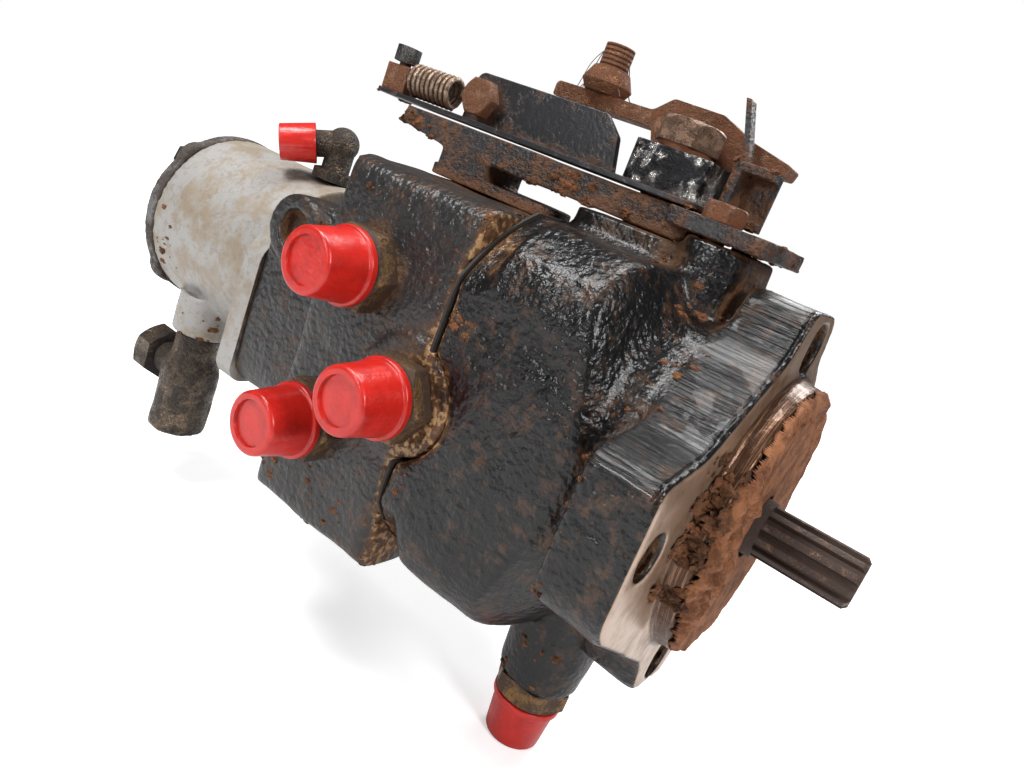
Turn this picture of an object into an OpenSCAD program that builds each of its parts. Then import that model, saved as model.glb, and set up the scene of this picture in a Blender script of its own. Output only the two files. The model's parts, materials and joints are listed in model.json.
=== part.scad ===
// Axial piston pump with a manual control lever and a tandem gear pump.
// +X is the drive end, +Z the control side and -Y the port side. Millimetres.
// The origin is where the shaft axis meets the mounting face of the flange.

/* [Mounting flange] */
// Thickness of the mounting flange
flange_t = 23.7; // [18:0.1:30]
// Diameter of the locating pilot
pilot_d = 101.6; // [96:0.1:106]
// Height of the pilot
pilot_h = 7.6; // [6:0.1:12]
// Distance between the two side bolt holes
side_bolt_span = 146.05; // [142:0.05:152]
// Diameter of the side bolt holes
side_bolt_d = 14.3; // [12:0.1:16]
// Distance between the upper and the lower bolt hole
end_bolt_span = 123.4; // [118:0.1:130]
// Diameter of the upper and lower bolt holes
end_bolt_d = 17.5; // [12:0.1:19]

/* [Case] */
// Length from the mounting face to the joint with the port block
case_len = 97; // [92:0.5:110]
// Width of the case across the ports
case_w = 128; // [122:0.5:136]
// Height of the case
case_h = 138; // [132:0.5:146]
// Radius of the case behind the flange
neck_r = 61; // [57:0.5:65]
// Height of the bracket pad above the shaft axis
pad_z = 82; // [79:0.5:86]
// Distance from the mounting face to the tilt axis
tilt_x = 70; // [68:0.5:74]
// Distance from the mounting face to the drain boss
drain_x = 40; // [38:0.5:44]
// Depth of the drain boss below the shaft axis
drain_z = 100; // [98:0.5:112]

/* [Port block] */
// Length of the port block
block_len = 66; // [62:0.5:74]
// Height of the block's top above the shaft axis
block_top = 66; // [63:0.5:70]
// Depth of the block's bottom below the shaft axis
block_bottom = 73; // [68:0.5:78]
// Distance from the shaft axis to the port face
port_face = 60; // [56:0.5:66]
// Height of the upper port
upper_port_z = 29; // [26:0.5:32]
// Depth of the lower port
lower_port_z = 32; // [30:0.5:36]
// Distance of both work ports from the block's rear face
work_port_x = 25; // [22:0.5:27]
// Diameter of the port bores
port_bore_d = 15; // [12:0.5:17]

/* [Rotating group] */
// Number of pistons
piston_count = 9; // [7:2:9]
// Pitch radius of the pistons
piston_pitch_r = 28.5; // [28:0.1:29.5]
// Diameter of a piston
piston_d = 15.5; // [14:0.1:16.5]
// Outer diameter of the cylinder block
barrel_d = 80; // [78:0.5:82]
// Length of the cylinder block
barrel_len = 46; // [42:0.5:50]
// Thickness of the valve plate
valve_plate_t = 4; // [3:0.1:5]
// Diameter of the shaft between its bearings
shaft_d = 28; // [25:0.5:30]
// Outer diameter of the shaft's outer spline
spline_d = 19; // [17:0.1:20.5]
// Number of teeth on the shaft's outer spline
spline_teeth = 11; // [9:1:13]
// Distance that the shaft stands out from the mounting face
shaft_out = 45; // [40:0.5:52]

/* [Gear pump] */
// Length of the adapter between the port block and the gear pump
adapter_len = 40; // [36:0.5:46]
// Thickness of the gear pump's front flange
front_flange_t = 10; // [8:0.5:13]
// Length of the gear pump's body
body_len = 80; // [68:0.5:82]
// Thickness of the gear pump's rear cover
rear_cover_t = 12; // [10:0.5:15]
// Radius of the gear pump's body
gear_body_r = 43.5; // [42:0.5:46]
// Module of the pump gears
gear_module = 2.2; // [2:0.05:2.4]
// Teeth on each pump gear
gear_teeth = 10; // [9:1:10]
// Width of the pump gears
gear_w = 24; // [18:0.5:30]

/* [Control lever] */
// Underside of the neutral bracket's bar above the shaft axis
bracket_z = 77; // [76:0.5:79]
// Top of the neutral bracket above the shaft axis
bracket_top = 88; // [87:0.5:90]
// Thickness of the lever plate
lever_plate_t = 2; // [1.5:0.1:3]
// Height of the hub block on the lever plate
hub_h = 14.5; // [11:0.5:16]
// Diameter of the trunnion shaft
trunnion_d = 18; // [16:0.5:20]
// Length of the control arm from the tilt axis to its ball stud
arm_len = 50.5; // [46:0.5:54]
// Thickness of the control arm
arm_t = 6; // [5:0.5:8]
// Outer diameter of the lever spring
spring_d = 14; // [12:0.5:15]
// Diameter of the lever spring's wire
spring_wire = 2.2; // [1.6:0.1:2.4]
// Radius of the stud on the control arm
stud_r = 6; // [5:0.1:6.5]

/* [Fittings] */
// Diameter of the male thread on a port fitting
fitting_d = 19; // [17:0.5:20]
// Size across the flats of a port fitting
fitting_flats = 28; // [25:0.5:30]
// Outer diameter of a protective cap at its closed end
cap_d = 23; // [22.5:0.1:25]
// Outer diameter of a protective cap's rim
cap_rim_d = 28.6; // [27:0.1:31]
// Length of a protective cap
cap_len = 20; // [17:0.5:24]

/* [Clearances] */
// Radial running clearance in a journal
run_gap = 0.06; // [0.03:0.01:0.1]
// Gap between faces that move past each other
face_gap = 0.3; // [0.2:0.05:0.6]
// Thickness of a gasket
gasket_t = 1; // [0.6:0.1:1.5]

/* [Hidden] */
$fn = 64;

// places along the shaft, worked out from the mounting face backwards
x_case = -case_len;
x_block = x_case - gasket_t;
x_adapter = x_block - block_len;
x_flange = x_adapter - adapter_len;
x_body = x_flange - front_flange_t;
x_cover = x_body - body_len;
x_rear = x_cover - rear_cover_t;

// the port side
x_work = x_adapter + work_port_x;
x_drain_port = x_block - 7;
z_drain_port = -5;
port_boss_r = 21.5;

// the rotating group
x_balls = -tilt_x;
slipper_t = 8;
slipper_r = 8.6;
slipper_neck_r = 6.6;
x_swash = x_balls + slipper_t;
thrust_t = 2.5;
swash_t = 14;
cavity_r = barrel_d / 2 + 3;
x_barrel_rear = x_swash - slipper_t - 15 - barrel_len;
x_valve = x_barrel_rear - valve_plate_t;
piston_len = x_balls - x_barrel_rear - 14;
retainer_t = 2;

// the front bearing and seal
bearing_r = 31;
bearing_w = 18;
x_bearing = -12 - bearing_w;
seal_r = 22;
seal_w = 8;
journal_d = 20;

// the gear pump
gear_r = gear_module * gear_teeth / 2;
gear_tip_r = gear_r + gear_module;
x_gears = x_cover + 20;
gear_shaft_d = 13;

// the control lever, from the bracket upwards
z_plate = bracket_top + 1;
z_hub = z_plate + lever_plate_t;
z_arm = z_hub + hub_h;
arm_y = 18;
arm_front = 13.4;
tab_y = 1.5;
spring_y = tab_y - 6.5;
z_spring = z_hub + spring_d / 2 + 0.3;
arm_back = 27;
stud_base = z_hub + 27;
bar_half = 13;
lever_rear = -212;

// ---------- helpers ----------

// points of the arc of radius r that rounds the corner b between a and c
function fillet(a, b, c, r, n = 5) =
    let (u = (a - b) / norm(a - b), v = (c - b) / norm(c - b),
         half = acos(u * v) / 2,
         o = b + (u + v) / norm(u + v) * r / sin(half),
         p = b + u * r / tan(half), q = b + v * r / tan(half),
         start = atan2(p.y - o.y, p.x - o.x),
         turn = (atan2(q.y - o.y, q.x - o.x) - start + 540) % 360 - 180)
    [for (i = [0:n]) o + r * [cos(start + turn * i / n), sin(start + turn * i / n)]];

// a polygon whose points are [x, y, corner radius]
function rounded(p) = let (n = len(p)) [for (i = [0:n - 1])
    let (a = p[(i + n - 1) % n], b = p[i], c = p[(i + 1) % n])
    each (b[2] > 0 ? fillet([a.x, a.y], [b.x, b.y], [c.x, c.y], b[2]) : [[b.x, b.y]])];

// a rectangle from corner a to corner b with rounded corners
function rounded_box(a, b, r) = rounded([[a.x, a.y, r], [b.x, a.y, r], [b.x, b.y, r], [a.x, b.y, r]]);

// turns a Z shape to lie along X, and a (Y, Z) outline into a plate along X
module along_x(x = 0) { translate([x, 0, 0]) rotate([0, 90, 0]) children(); }
module plate_x(x, t) { translate([x, 0, 0]) rotate([90, 0, 90]) linear_extrude(t) children(); }
// turns a Z shape to point along -Y from a place
module along_y(p) { translate(p) rotate([90, 0, 0]) children(); }
module rod_x(x0, x1, r) { along_x(min(x0, x1)) cylinder(h = abs(x1 - x0), r = r); }
module rod_z(x, y, z0, z1, r) { translate([x, y, z0]) cylinder(h = z1 - z0, r = r); }
module tube_x(x0, x1, ro, ri) {
    difference() {
        rod_x(x0, x1, ro);
        rod_x(min(x0, x1) - 1, max(x0, x1) + 1, ri);
    }
}
module hexagon(flats, h) { cylinder(h = h, d = flats / cos(30), $fn = 6); }
// a hexagon with turned, chamfered corners, standing on its base
module hex_head(flats, h) {
    intersection() {
        hexagon(flats, h);
        cylinder(h = h, r1 = flats / 2 * 1.15 + h, r2 = flats / 2 * 0.97);
        cylinder(h = h, d = flats / cos(30) * 0.99);
    }
}
// a coil of round wire along Z
module coil(d, wire, h, turns, sides = 8, steps = 14) {
    n = turns * steps;
    r = (d - wire) / 2;
    rise = (h - wire) / n;
    function ring(i) = let (a = 360 * i / steps, c = [cos(a), sin(a), 0])
        [for (k = [0:sides - 1]) let (b = 360 * k / sides)
            (r + wire / 2 * cos(b)) * c + [0, 0, wire / 2 + rise * i + wire / 2 * sin(b)]];
    points = [for (i = [0:n]) each ring(i)];
    walls = [for (i = [0:n - 1]) for (k = [0:sides - 1]) let (m = (k + 1) % sides)
        each [[i * sides + k, (i + 1) * sides + k, (i + 1) * sides + m],
              [i * sides + k, (i + 1) * sides + m, i * sides + m]]];
    ends = [[for (k = [0:sides - 1]) k], [for (k = [sides - 1:-1:0]) n * sides + k]];
    polyhedron(points, concat(walls, ends));
}

// ---------- case ----------

flange_outline = let (w = side_bolt_span / 2 + 14.5, h = end_bolt_span / 2 + 12.8) [
    [w, -23, 14], [22, -56, 14], [15, -h, 8], [-17, 3 - h, 8], [-24, -56, 14], [-w, -23, 14],
    [-w, 23, 6], [-62, 29, 20], [-24, 58, 16], [-18, h, 8], [14, h - 1, 8], [20, 58, 12], [62, 29, 20], [w, 23, 6]];

module flange_holes() {
    for (s = [-1, 1]) {
        translate([0, s * side_bolt_span / 2, 0]) rod_x(-flange_t - 1, 1, side_bolt_d / 2);
        translate([0, 0, s * end_bolt_span / 2]) rod_x(-flange_t - 1, 1, end_bolt_d / 2);
    }
}

module case_shell() {
    intersection() {
        plate_x(x_case, case_len - flange_t + 1)
            polygon(rounded_box([-case_w / 2, -case_h / 2], [case_w / 2, case_h / 2], 26));
        along_x() rotate_extrude() polygon(rounded([
            [0, x_case, 0], [76, x_case, 0], [76, x_case + 9, 5], [90, x_case + 17, 8],
            [88, -53, 16], [neck_r, -34, 14], [neck_r, -flange_t + 1, 0], [0, -flange_t + 1, 0]]));
    }
}

module case_housing() {
    color("#2b2b2e") difference() {
        union() {
            plate_x(-flange_t, flange_t) polygon(rounded(flange_outline));
            rod_x(-1, pilot_h, pilot_d / 2);
            case_shell();
            // boss of the drain port, a pad for the bracket and the boss round the trunnion
            translate([-drain_x, 0, -drain_z])
                rotate_extrude() polygon([[0, 0], [16.5, 0], [17.5, 2], [20, 45], [20, 70], [0, 70]]);
            translate([0, 0, 50]) linear_extrude(pad_z - 50)
                polygon(rounded_box([-50, -24], [-27, 24], 8));
            translate([0, 0, 50]) linear_extrude(bracket_z - 50)
                polygon(rounded_box([x_case + 2, -21], [x_case + 49, 21], 10));
        }
        flange_holes();
        // cavity for the rotating group, seats of the front bearing and the seal
        along_x() rotate_extrude() polygon(rounded([
            [0, x_case - 1, 0], [cavity_r + 8, x_case - 1, 0], [cavity_r + 8, -46, 6],
            [bearing_r - 6, x_bearing - 8, 0], [bearing_r - 6, x_bearing, 0], [0, x_bearing, 0]]));
        rod_x(x_bearing, x_bearing + bearing_w, bearing_r);
        rod_x(x_bearing, pilot_h + 1, seal_r);
        // trunnion bores
        rod_z(-tilt_x, 0, 30, pad_z + 1, trunnion_d / 2 + 3);
        rod_z(-tilt_x, 0, -62, -30, trunnion_d / 2 + 3);
        // drain port
        rod_z(-drain_x, 0, -drain_z - 1, -50, port_bore_d / 2);
        case_bolt_places() rod_x(x_case - 1, x_case + 16, 4);
        bracket_bolt_places() rod_z(0, 0, pad_z - 14, pad_z + 1, 4);
        port_boss_relief();
    }
}

// room for the boss of the third port, which stands over the joint
module port_boss_relief() {
    along_y([x_drain_port, -54.5, z_drain_port]) cylinder(h = 30, r = port_boss_r + 0.5);
}

module case_bolt_places() {
    for (y = [-46, 46]) for (z = [-48, 48]) translate([0, y, z]) children();
}

module case_gasket() {
    color("#6b5a45") difference() {
        plate_x(x_block, gasket_t) intersection() {
            polygon(rounded_box([-case_w / 2, -case_h / 2], [case_w / 2, case_h / 2], 32));
            circle(76);
        }
        rod_x(x_block - 1, x_case + 1, cavity_r + 8);
        case_bolt_places() rod_x(x_block - 1, x_case + 1, 4.5);
        port_boss_relief();
    }
}

// ---------- port block ----------

module port_places() {
    translate([x_work, -port_face, upper_port_z]) rotate([90, 0, 0]) children();
    translate([x_work - 2, -port_face, -lower_port_z]) rotate([90, 0, 0]) children();
    translate([x_drain_port, -port_face - 2, z_drain_port]) rotate([90, 0, 0]) children();
}

module port_block() {
    color("#2b2b2e") difference() {
        union() {
            intersection() {
                plate_x(x_adapter, block_len) polygon(rounded([
                    [-port_face, -block_bottom, 5], [port_face, -block_bottom, 8],
                    [port_face, block_top, 12], [-port_face, block_top, 9]]));
                translate([0, 0, -100]) linear_extrude(200)
                    polygon(rounded_box([x_adapter, -port_face], [x_block, port_face], 5));
            }
            along_y([x_drain_port, -55, z_drain_port]) cylinder(h = port_face - 53, r = port_boss_r);
        }
        // hollow for the cylinder block, and the face that carries the valve plate
        rod_x(x_valve, x_block + 1, cavity_r);
        rod_x(x_block, x_block + 30, cavity_r + 8);
        rod_x(x_valve - 18, x_valve + 1, journal_d / 2 + 4);
        rod_x(x_adapter - 1, x_valve, journal_d / 2 + 1);
        port_places() translate([0, 0, -8]) cylinder(h = 11, d = port_bore_d);
        along_y([x_drain_port, -30, z_drain_port]) cylinder(h = 30, r = 5);
        for (z = [upper_port_z, -lower_port_z]) translate([x_work - 4, 0, z]) {
            along_y([0, -piston_pitch_r + 4, 0]) cylinder(h = 35, r = 4);
            translate([0, -piston_pitch_r, 0]) rod_x(0, x_valve - x_work + 5, 4);
        }
        case_bolt_places() {
            rod_x(x_adapter - 1, x_block + 1, 4.5);
            rod_x(x_adapter - 1, x_adapter + 12, 8);
        }
        adapter_bolt_places() rod_x(x_adapter - 1, x_adapter + 14, 4);
    }
}

module case_bolts() {
    color("#3a3a3c") case_bolt_places() {
        rod_x(x_adapter + 12, x_case + 15, 3.9);
        difference() {
            rod_x(x_adapter + 3, x_adapter + 12, 6.5);
            along_x(x_adapter + 2) hexagon(6.5, 6);
        }
    }
}

// a straight fitting: hexagon on its face, male thread outside it
module fitting(shank) {
    difference() {
        union() {
            translate([0, 0, -shank]) cylinder(h = shank + 1, d = port_bore_d - 0.4);
            hex_head(fitting_flats, 9);
            cylinder(h = 13, d = fitting_d - 2);
            translate([0, 0, 12]) cylinder(h = 13, d = fitting_d);
        }
        translate([0, 0, -shank - 1]) cylinder(h = shank + 40, d = fitting_d - 9);
    }
}

// a protective push-on cap, closed end outwards
module thread_cap() {
    translate([0, 0, 9.4]) difference() {
        rotate_extrude() polygon(rounded([
            [0, 0, 0], [cap_rim_d / 2, 0, 0.6], [cap_rim_d / 2, 3, 0.8], [cap_d / 2 + 1.6, 3, 0.5],
            [cap_d / 2, cap_len, 1.5], [0, cap_len, 0]]));
        translate([0, 0, -1]) cylinder(h = 17.5, d = fitting_d + 0.2);
        translate([0, 0, cap_len - 1.2]) cylinder(h = 2, d = cap_d - 6);
    }
}

module port_fittings() { color("#6a5a3a") port_places() fitting(7); }
module port_caps() { color("#e8352a") port_places() thread_cap(); }
module drain_place() { translate([-drain_x, 0, -drain_z]) rotate([180, 0, 0]) children(); }
module drain_fitting() { color("#6a5a3a") drain_place() fitting(12); }
module drain_cap() { color("#e8352a") drain_place() thread_cap(); }

// ---------- shaft and bearings ----------

module shaft_seal() {
    color("#1c1c1e") {
        tube_x(-seal_w, 3, seal_r - 0.02, shaft_d / 2 + run_gap);
        tube_x(2.9, pilot_h - 1, seal_r - 0.02, spline_d / 2 + 1.4);
    }
}

module front_bearing_cup() {
    color("#b9bcc0") difference() {
        rod_x(x_bearing, x_bearing + bearing_w, bearing_r - 0.02);
        along_x(x_bearing - 0.01) cylinder(h = bearing_w + 0.02, r1 = 25.2, r2 = 27.3);
    }
}

// cone with its tapered rollers
module front_bearing_cone() {
    color("#b9bcc0") {
        difference() {
            along_x(x_bearing + 0.5) cylinder(h = bearing_w - 1, r1 = 19.2, r2 = 20.9);
            rod_x(x_bearing - 1, x_bearing + bearing_w + 1, shaft_d / 2 + 0.02);
        }
        for (i = [0:15]) rotate([i * 22.5, 0, 0]) translate([x_bearing + 3, 0, 22.4])
            rotate([0, 84.3, 0]) cylinder(h = 12, r1 = 2.7, r2 = 2.8);
    }
}

module spline_outline(d, teeth, depth) {
    difference() {
        circle(d = d);
        for (i = [0:teeth - 1]) rotate(360 * i / teeth) translate([d / 2, 0])
            polygon([[-depth, -d * 0.045], [1, -d * 0.11], [1, d * 0.11], [-depth, d * 0.045]]);
    }
}

module drive_shaft() {
    color("#7a6a5c") {
        along_x(x_valve - 17) cylinder(h = 17, d = journal_d);
        rod_x(x_valve, x_balls - 11, shaft_d / 2 - 2.5);
        rod_x(x_balls - 11, 2, shaft_d / 2);
        rod_x(1, 12, spline_d / 2 + 1);
        intersection() {
            along_x(12) linear_extrude(shaft_out - 12) spline_outline(spline_d, spline_teeth, 1.6);
            along_x(12) cylinder(h = shaft_out - 12, r1 = spline_d / 2 + shaft_out - 13.5, r2 = spline_d / 2 - 1.5);
        }
        rod_x(x_valve - 17, x_adapter - 10, 8);
    }
}

// drawn cup with its needles
module rear_bearing() {
    color("#b9bcc0") {
        tube_x(x_valve - 18, x_valve - 1, journal_d / 2 + 3.98, journal_d / 2 + 2.6);
        for (i = [0:15]) rotate([i * 22.5, 0, 0])
            translate([0, 0, journal_d / 2 + 1.3]) rod_x(x_valve - 16, x_valve - 3, 1.22);
    }
}

// ---------- rotating group ----------

module piston_place(i) {
    a = 360 * i / piston_count;
    translate([0, piston_pitch_r * cos(a), piston_pitch_r * sin(a)]) children();
}
module piston_places() { for (i = [0:piston_count - 1]) piston_place(i) children(); }

// the pistons at +i and -i steps from the +Y side make the same stroke, so they share a node
module pair(i) {
    piston_place(i) children();
    if (i > 0) piston_place(-i) children();
}

module piston() {
    color("#c2c5c8") difference() {
        union() {
            rod_x(x_balls - piston_len, x_balls - 6, piston_d / 2 - run_gap);
            rod_x(x_balls - 7, x_balls, 3.6);
            translate([x_balls, 0, 0]) sphere(5);
        }
        rod_x(x_balls - piston_len - 1, x_balls - 18, piston_d / 2 - 3);
    }
}

// a slipper turned round the ball, with its socket as flats that lie just outside the ball
module slipper() {
    socket = (5 + run_gap) / cos(5.5);
    color("#b08a4a") along_x() rotate_extrude() polygon(concat(
        [for (a = [90:-11:-9]) [socket * cos(a), x_balls + socket * sin(a)]],
        [[slipper_neck_r, x_balls - 1.5], [slipper_neck_r, x_swash - 2.2], [slipper_r, x_swash - 2.2],
         [slipper_r, x_swash - face_gap / 2], [0, x_swash - face_gap / 2]]));
}

module piston_1() { pair(0) piston(); }
module piston_2() { pair(1) piston(); }
module piston_3() { pair(2) piston(); }
module piston_4() { pair(3) piston(); }
module piston_5() { pair(4) piston(); }
module slipper_1() { pair(0) slipper(); }
module slipper_2() { pair(1) slipper(); }
module slipper_3() { pair(2) slipper(); }
module slipper_4() { pair(3) slipper(); }
module slipper_5() { pair(4) slipper(); }

module retainer_plate() {
    color("#8f9296") difference() {
        tube_x(x_swash - 2.4 - retainer_t, x_swash - 2.4, piston_pitch_r + 11, 17.4);
        piston_places() rod_x(x_swash - 20, x_swash + 1, slipper_neck_r + 1.2);
    }
}

module ball_guide() {
    color("#9a9da1") difference() {
        intersection() {
            translate([x_balls, 0, 0]) sphere(17.2);
            rod_x(x_balls - 11, x_balls + 4, 30);
        }
        rod_x(x_balls - 20, x_balls + 20, shaft_d / 2 + 0.05);
    }
}

module cylinder_block() {
    x_nose = x_barrel_rear + barrel_len;
    color("#a9acb0") difference() {
        union() {
            rod_x(x_barrel_rear, x_nose, barrel_d / 2);
            rod_x(x_nose - 1, x_balls - 12, 19);
        }
        piston_places() rod_x(x_barrel_rear + 5, x_nose + 1, piston_d / 2);
        piston_places() rod_x(x_barrel_rear - 1, x_barrel_rear + 6, 4);
        rod_x(x_barrel_rear - 1, x_nose + 40, shaft_d / 2 - 2.5 + run_gap);
        rod_x(x_barrel_rear + 12, x_nose + 40, 18);
    }
}

module block_spring() {
    color("#6f7276") along_x(x_barrel_rear + 12.3)
        coil(33, 3, x_balls - 11.3 - x_barrel_rear - 12.3, 4, 6, 12);
}

module valve_plate() {
    color("#b5915a") difference() {
        rod_x(x_valve, x_barrel_rear, 36);
        rod_x(x_valve - 1, x_barrel_rear + 1, journal_d / 2 + 4);
        for (s = [-1, 1]) for (a = [-50:25:50]) rotate([a + (s > 0 ? 90 : -90), 0, 0])
            translate([0, 0, piston_pitch_r - 1]) rod_x(x_valve - 1, x_barrel_rear + 1, 3.6);
    }
}

module thrust_plate() {
    color("#c9ccd0") tube_x(x_swash + face_gap / 2, x_swash + thrust_t, piston_pitch_r + 11, 18);
}

module swashplate() {
    arm_z = cavity_r - 1;
    color("#85888c") difference() {
        union() {
            along_x(x_swash + thrust_t) cylinder(h = swash_t, r1 = piston_pitch_r + 15, r2 = piston_pitch_r + 2);
            // ears that reach back to the tilt axis on both sides
            for (s = [0, 180]) rotate([s, 0, 0]) {
                rod_z(-tilt_x, 0, arm_z, arm_z + 5.5, 16);
                translate([-tilt_x, -9, arm_z]) cube([15.5, 18, 5.5]);
                translate([x_swash + thrust_t, -9, arm_z - 8]) cube([5, 18, 12]);
            }
            // lower trunnion
            rod_z(-tilt_x, 0, -61.5, -arm_z, trunnion_d / 2);
        }
        along_x(x_swash - 1) cylinder(h = swash_t + thrust_t + 3, r1 = 19, r2 = 24);
        rod_z(-tilt_x, 0, 30, 60, trunnion_d / 2 + 0.02);
    }
}

// ---------- trunnions ----------

module trunnion_shaft() {
    color("#77797c") {
        rod_z(-tilt_x, 0, cavity_r - 0.5, z_hub + 2, trunnion_d / 2);
        rod_z(-tilt_x, 0, z_hub + 2, z_arm + 2, trunnion_d / 2 - 3);
    }
}

module trunnion_bushes() {
    color("#a98a4a") for (z = [[-61, -53], [53, 66]]) difference() {
        rod_z(-tilt_x, 0, z[0], z[1], trunnion_d / 2 + 2.98);
        rod_z(-tilt_x, 0, z[0] - 1, z[1] + 1, trunnion_d / 2 + run_gap);
    }
}

// ---------- gear pump ----------

module adapter_bolt_places() {
    for (y = [-38, 38]) for (z = [-34, 26]) translate([0, y, z]) children();
}

module pump_adapter() {
    color("#2b2b2e") difference() {
        union() {
            plate_x(x_flange, adapter_len) polygon(rounded([
                [-50, -47, 12], [50, -47, 12], [50, 36, 12], [-50, 36, 12]]));
            along_y([x_flange + 16, -30, 27]) cylinder(h = 24, r = 14);
        }
        along_y([x_flange + 16, -46, 27]) cylinder(h = 30, r = 8);
        rod_x(x_flange - 1, x_adapter + 1, 16);
        adapter_bolt_places() rod_x(x_flange - 1, x_adapter + 1, 4.5);
        adapter_bolt_places() rod_x(x_flange - 1, x_flange + 9, 7);
        gear_bolt_places() rod_x(x_flange - 1, x_flange + 8, 3.5);
    }
}

module adapter_bolts() {
    color("#3a3a3c") adapter_bolt_places() {
        rod_x(x_flange + 9, x_adapter + 13, 3.9);
        difference() {
            rod_x(x_flange + 1, x_flange + 9, 6.5);
            along_x(x_flange) hexagon(6.5, 5);
        }
    }
}

module shaft_coupling() {
    color("#5f6266") {
        tube_x(x_adapter - 10.5, x_adapter - 1.5, 12, 8.02);
        tube_x(x_adapter - 20, x_adapter - 10.5, 12, gear_shaft_d / 2 + 0.02);
    }
}

module gear_pump_flange() {
    color("#cfc8b8") difference() {
        plate_x(x_body, front_flange_t) polygon(rounded([
            [-51, -48, 8], [51, -48, 8], [51, 10, 10], [34, 36, 14], [-34, 36, 14], [-51, 10, 10]]));
        rod_x(x_body - 1, x_flange + 1, gear_shaft_d / 2 + 1);
        gear_bolt_places() rod_x(x_body - 1, x_flange + 1, 3.7);
    }
}

module gear_bolt_places() {
    for (i = [0:3]) rotate([45 + 90 * i, 0, 0]) translate([0, 0, gear_body_r - 7.5]) children();
}

module gear_pump_body() {
    color("#d6cdb8") difference() {
        union() {
            rod_x(x_cover, x_body, gear_body_r);
            translate([tee.x, tee.y, -50]) cylinder(h = 20, r = 14);
        }
        for (z = [0, -2 * gear_r]) translate([0, 0, z]) rod_x(x_cover - 1, x_body + 1, gear_tip_r + run_gap);
        gear_bolt_places() rod_x(x_cover - 1, x_body + 1, 3.7);
        translate([tee.x, tee.y, -51]) cylinder(h = 14, r = 8);
    }
}

module gear_pump_cover() {
    color("#6f6a62") difference() {
        union() {
            plate_x(x_cover - 7, 7) {
                circle(gear_body_r + 0.5);
                for (i = [0:3]) rotate(45 + 90 * i) translate([gear_body_r - 7.5, 0]) circle(10.5);
            }
            along_x(x_rear) cylinder(h = rear_cover_t, r1 = gear_body_r - 9, r2 = gear_body_r - 5);
        }
        for (z = [0, -2 * gear_r]) translate([0, 0, z]) rod_x(x_cover - 6, x_cover + 1, gear_shaft_d / 2 + 0.5);
        gear_bolt_places() rod_x(x_rear - 1, x_cover + 1, 3.7);
        gear_bolt_places() rod_x(x_rear - 1, x_cover - 7, 8);
    }
}

module gear_pump_bolts() {
    color("#5a5550") gear_bolt_places() {
        rod_x(x_cover - 8, x_flange + 7, 3.4);
        along_x(x_cover - 13) hex_head(12, 6);
    }
}

// a spur gear outline with straight-flanked teeth
module gear_outline(teeth, m) {
    r = m * teeth / 2;
    p = 360 / teeth;
    polygon([for (i = [0:teeth - 1]) each [
        for (c = [[r - 1.1 * m, -0.3], [r, -0.205], [r + 0.9 * m, -0.075],
                  [r + 0.9 * m, 0.075], [r, 0.205], [r - 1.1 * m, 0.3]])
            c[0] * [cos(p * (i + c[1])), sin(p * (i + c[1]))]]]);
}

module gear_shaft(turned) {
    along_x(x_gears) rotate(turned) linear_extrude(gear_w) gear_outline(gear_teeth, gear_module);
    rod_x(x_cover - 5, x_gears + 1, gear_shaft_d / 2);
}

module drive_gear() {
    color("#a0a3a7") {
        gear_shaft(0);
        rod_x(x_gears + gear_w - 1, x_adapter - 11, gear_shaft_d / 2);
    }
}

module driven_gear() {
    color("#a0a3a7") translate([0, 0, -2 * gear_r]) {
        gear_shaft(gear_teeth % 2 == 0 ? 180 / gear_teeth : 0);
        rod_x(x_gears + gear_w - 1, x_body - 3, gear_shaft_d / 2);
    }
}

module bearing_blocks() {
    color("#b8b09a") for (x = [[x_cover + 0.1, x_gears - 0.1], [x_gears + gear_w + 0.1, x_body - 0.1]]) difference() {
        for (z = [0, -2 * gear_r]) translate([0, 0, z]) rod_x(x[0], x[1], gear_tip_r);
        for (z = [0, -2 * gear_r]) translate([0, 0, z]) rod_x(x[0] - 1, x[1] + 1, gear_shaft_d / 2 + run_gap);
    }
}

// ---------- fittings on the gear pump and the block ----------

tee = [x_cover + 31, -24, -72];

module inlet_tee() {
    color("#4e473f") difference() {
        union() {
            translate(tee) cylinder(h = -50 - tee.z, r = 11);
            translate(tee) sphere(14);
            translate([tee.x, tee.y, tee.z - 30]) cylinder(h = 30, r = 14);
            translate(tee) rotate([0, -90, 0]) cylinder(h = 20, r = 9);
        }
        translate([tee.x, tee.y, tee.z - 31]) cylinder(h = 27, r = 9);
    }
}

module inlet_nut() {
    color("#5a5148") translate(tee) rotate([0, -90, 0]) translate([0, 0, 20]) hex_head(24, 12);
}

charge_z = gear_body_r + 17.5;

module charge_arm() { translate([x_body - 14, -4, charge_z]) rotate([0, 0, 48]) rotate([0, -108, 0]) children(); }

module charge_elbow() {
    color("#7a6a55") {
        translate([x_body - 14, -4, gear_body_r + 0.1]) hexagon(17, 4.5);
        rod_z(x_body - 14, -4, gear_body_r + 4, charge_z, 6.5);
        translate([x_body - 14, -4, charge_z]) sphere(7.5);
        charge_arm() cylinder(h = 24, r = 6);
    }
}

module charge_cap() {
    color("#e8352a") charge_arm() difference() {
        translate([0, 0, 12]) cylinder(h = 16, r1 = 9, r2 = 8);
        translate([0, 0, 11]) cylinder(h = 14.5, r = 6.1);
    }
}

// ---------- control lever ----------

module bracket_bolt_places() { for (y = [-16, 16]) translate([-41, y, 0]) children(); }

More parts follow.
